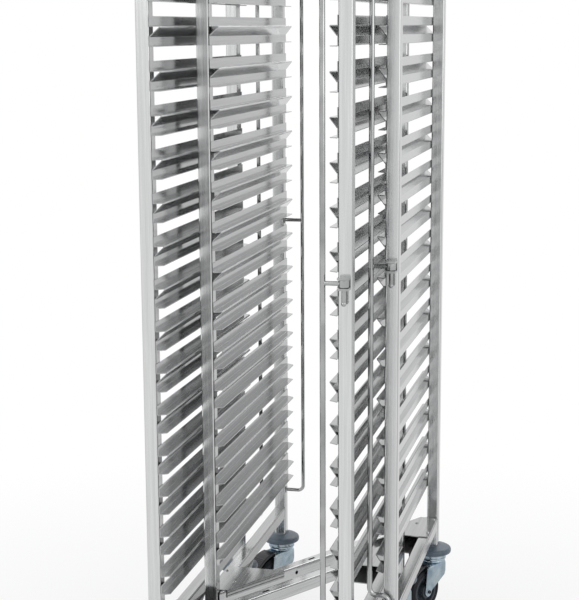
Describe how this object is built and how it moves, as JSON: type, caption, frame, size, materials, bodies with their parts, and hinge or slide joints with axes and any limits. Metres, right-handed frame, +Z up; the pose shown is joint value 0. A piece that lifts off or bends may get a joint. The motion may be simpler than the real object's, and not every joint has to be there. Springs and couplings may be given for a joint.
{
  "type": "nesting tray trolley pair",
  "caption": "Open stainless Z-frame tray trolleys nested into each other, with folded runner walls, swinging stop bars and swivel castors with bumper discs.",
  "frame": {"origin": "on the floor under the middle of the pair's bounding box", "axes": "+X to the right seen from the loading side, +Y away from it, the way the nested trolley rolls out, +Z up"},
  "size_m": [0.5012, 0.8857, 1.81],
  "materials": {
    "brushed_tube": "lengthwise brushed stainless square tube",
    "runner_sheet": "folded stainless sheet, semi-bright",
    "base_sheet": "satin stainless square tube and sheet",
    "polished_rod": "polished stainless rod and fittings",
    "bumper_rubber": "moulded blue-grey rubber, semi-matt",
    "zinc_plate": "bright blue-passivated zinc plated pressed steel",
    "wheel_rubber": "dark rubber tyre on a grey polyamide centre",
    "pedal_plastic": "black moulded pedal"
  },
  "bodies": {
    "lead_frame": {"lead_front_left_upright": "brushed_tube", "lead_front_right_upright": "brushed_tube", "lead_rear_left_upright": "brushed_tube", "lead_rear_right_upright": "brushed_tube", "lead_left_runners": "runner_sheet", "lead_right_runners": "runner_sheet", "lead_left_base_rail": "base_sheet", "lead_right_base_rail": "base_sheet", "lead_base_diagonal": "base_sheet", "lead_corner_plates": "base_sheet", "lead_rivets": "polished_rod", "lead_top_rails": "brushed_tube", "lead_top_diagonal": "base_sheet", "lead_stop_bar_brackets": "polished_rod", "lead_rear_stop_rod": "polished_rod", "lead_bumper_discs": "bumper_rubber", "lead_castor_stems": "zinc_plate"},
    "nested_frame": {"nested_front_left_upright": "brushed_tube", "nested_front_right_upright": "brushed_tube", "nested_rear_left_upright": "brushed_tube", "nested_rear_right_upright": "brushed_tube", "nested_left_runners": "runner_sheet", "nested_right_runners": "runner_sheet", "nested_left_base_rail": "base_sheet", "nested_right_base_rail": "base_sheet", "nested_base_diagonal": "base_sheet", "nested_corner_plates": "base_sheet", "nested_rivets": "polished_rod", "nested_top_rails": "brushed_tube", "nested_top_diagonal": "base_sheet", "nested_stop_bar_brackets": "polished_rod", "nested_rear_stop_rod": "polished_rod", "nested_bumper_discs": "bumper_rubber", "nested_castor_stems": "zinc_plate"},
    "lead_stop_bar": {"lead_stop_bar": "polished_rod"},
    "lead_front_left_swivel": {"lead_front_left_fork": "zinc_plate"},
    "lead_front_left_rolling": {"lead_front_left_wheel": "wheel_rubber"},
    "lead_front_right_swivel": {"lead_front_right_fork": "zinc_plate"},
    "lead_front_right_rolling": {"lead_front_right_wheel": "wheel_rubber"},
    "lead_rear_left_swivel": {"lead_rear_left_fork": "zinc_plate"},
    "lead_rear_left_rolling": {"lead_rear_left_wheel": "wheel_rubber"},
    "lead_rear_left_pedal": {"lead_rear_left_brake_pedal": "pedal_plastic"},
    "lead_rear_right_swivel": {"lead_rear_right_fork": "zinc_plate"},
    "lead_rear_right_rolling": {"lead_rear_right_wheel": "wheel_rubber"},
    "lead_rear_right_pedal": {"lead_rear_right_brake_pedal": "pedal_plastic"},
    "nested_stop_bar": {"nested_stop_bar": "polished_rod"},
    "nested_front_left_swivel": {"nested_front_left_fork": "zinc_plate"},
    "nested_front_left_rolling": {"nested_front_left_wheel": "wheel_rubber"},
    "nested_front_right_swivel": {"nested_front_right_fork": "zinc_plate"},
    "nested_front_right_rolling": {"nested_front_right_wheel": "wheel_rubber"},
    "nested_rear_left_swivel": {"nested_rear_left_fork": "zinc_plate"},
    "nested_rear_left_rolling": {"nested_rear_left_wheel": "wheel_rubber"},
    "nested_rear_left_pedal": {"nested_rear_left_brake_pedal": "pedal_plastic"},
    "nested_rear_right_swivel": {"nested_rear_right_fork": "zinc_plate"},
    "nested_rear_right_rolling": {"nested_rear_right_wheel": "wheel_rubber"},
    "nested_rear_right_pedal": {"nested_rear_right_brake_pedal": "pedal_plastic"}
  },
  "joints": [
    {"name": "nesting_slide", "type": "slide", "parent": "lead_frame", "child": "nested_frame", "axis": [0, 1, 0], "range_m": [0, 0.16]},
    {"name": "lead_stop_bar_swing", "type": "hinge", "parent": "lead_frame", "child": "lead_stop_bar", "pos_m": [0.16412, -0.38065, 0.876], "axis": [0, 0, 1], "range_deg": [0, 170]},
    {"name": "lead_front_left_swivel", "type": "hinge", "parent": "lead_frame", "child": "lead_front_left_swivel", "pos_m": [-0.19088, -0.35715, 0.1153], "axis": [0, 0, 1], "continuous": true},
    {"name": "lead_front_left_roll", "type": "hinge", "parent": "lead_front_left_swivel", "child": "lead_front_left_rolling", "pos_m": [-0.21124, -0.39388, 0.05], "axis": [0.8746, -0.4848, 0], "continuous": true},
    {"name": "lead_front_right_swivel", "type": "hinge", "parent": "lead_frame", "child": "lead_front_right_swivel", "pos_m": [0.16412, -0.35715, 0.1153], "axis": [0, 0, 1], "continuous": true},
    {"name": "lead_front_right_roll", "type": "hinge", "parent": "lead_front_right_swivel", "child": "lead_front_right_rolling", "pos_m": [0.14376, -0.39388, 0.05], "axis": [0.8746, -0.4848, 0], "continuous": true},
    {"name": "lead_rear_left_swivel", "type": "hinge", "parent": "lead_frame", "child": "lead_rear_left_swivel", "pos_m": [-0.19088, 0.20285, 0.1153], "axis": [0, 0, 1], "continuous": true},
    {"name": "lead_rear_left_roll", "type": "hinge", "parent": "lead_rear_left_swivel", "child": "lead_rear_left_rolling", "pos_m": [-0.21124, 0.16612, 0.05], "axis": [0.8746, -0.4848, 0], "continuous": true},
    {"name": "lead_rear_left_brake", "type": "hinge", "parent": "lead_rear_left_swivel", "child": "lead_rear_left_pedal", "pos_m": [-0.21076, 0.16699, 0.105], "axis": [0.8746, -0.4848, 0], "range_deg": [0, 4.5]},
    {"name": "lead_rear_right_swivel", "type": "hinge", "parent": "lead_frame", "child": "lead_rear_right_swivel", "pos_m": [0.16412, 0.20285, 0.1153], "axis": [0, 0, 1], "continuous": true},
    {"name": "lead_rear_right_roll", "type": "hinge", "parent": "lead_rear_right_swivel", "child": "lead_rear_right_rolling", "pos_m": [0.14376, 0.16612, 0.05], "axis": [0.8746, -0.4848, 0], "continuous": true},
    {"name": "lead_rear_right_brake", "type": "hinge", "parent": "lead_rear_right_swivel", "child": "lead_rear_right_pedal", "pos_m": [0.14424, 0.16699, 0.105], "axis": [0.8746, -0.4848, 0], "range_deg": [0, 4.5]},
    {"name": "nested_stop_bar_swing", "type": "hinge", "parent": "nested_frame", "child": "nested_stop_bar", "pos_m": [0.21062, -0.18065, 0.876], "axis": [0, 0, 1], "range_deg": [0, 170]},
    {"name": "nested_front_left_swivel", "type": "hinge", "parent": "nested_frame", "child": "nested_front_left_swivel", "pos_m": [-0.14438, -0.15715, 0.1153], "axis": [0, 0, 1], "continuous": true},
    {"name": "nested_front_left_roll", "type": "hinge", "parent": "nested_front_left_swivel", "child": "nested_front_left_rolling", "pos_m": [-0.16474, -0.19388, 0.05], "axis": [0.8746, -0.4848, 0], "continuous": true},
    {"name": "nested_front_right_swivel", "type": "hinge", "parent": "nested_frame", "child": "nested_front_right_swivel", "pos_m": [0.21062, -0.15715, 0.1153], "axis": [0, 0, 1], "continuous": true},
    {"name": "nested_front_right_roll", "type": "hinge", "parent": "nested_front_right_swivel", "child": "nested_front_right_rolling", "pos_m": [0.19026, -0.19388, 0.05], "axis": [0.8746, -0.4848, 0], "continuous": true},
    {"name": "nested_rear_left_swivel", "type": "hinge", "parent": "nested_frame", "child": "nested_rear_left_swivel", "pos_m": [-0.14438, 0.40285, 0.1153], "axis": [0, 0, 1], "continuous": true},
    {"name": "nested_rear_left_roll", "type": "hinge", "parent": "nested_rear_left_swivel", "child": "nested_rear_left_rolling", "pos_m": [-0.16474, 0.36612, 0.05], "axis": [0.8746, -0.4848, 0], "continuous": true},
    {"name": "nested_rear_left_brake", "type": "hinge", "parent": "nested_rear_left_swivel", "child": "nested_rear_left_pedal", "pos_m": [-0.16426, 0.36699, 0.105], "axis": [0.8746, -0.4848, 0], "range_deg": [0, 4.5]},
    {"name": "nested_rear_right_swivel", "type": "hinge", "parent": "nested_frame", "child": "nested_rear_right_swivel", "pos_m": [0.21062, 0.40285, 0.1153], "axis": [0, 0, 1], "continuous": true},
    {"name": "nested_rear_right_roll", "type": "hinge", "parent": "nested_rear_right_swivel", "child": "nested_rear_right_rolling", "pos_m": [0.19026, 0.36612, 0.05], "axis": [0.8746, -0.4848, 0], "continuous": true},
    {"name": "nested_rear_right_brake", "type": "hinge", "parent": "nested_rear_right_swivel", "child": "nested_rear_right_pedal", "pos_m": [0.19074, 0.36699, 0.105], "axis": [0.8746, -0.4848, 0], "range_deg": [0, 4.5]}
  ]
}
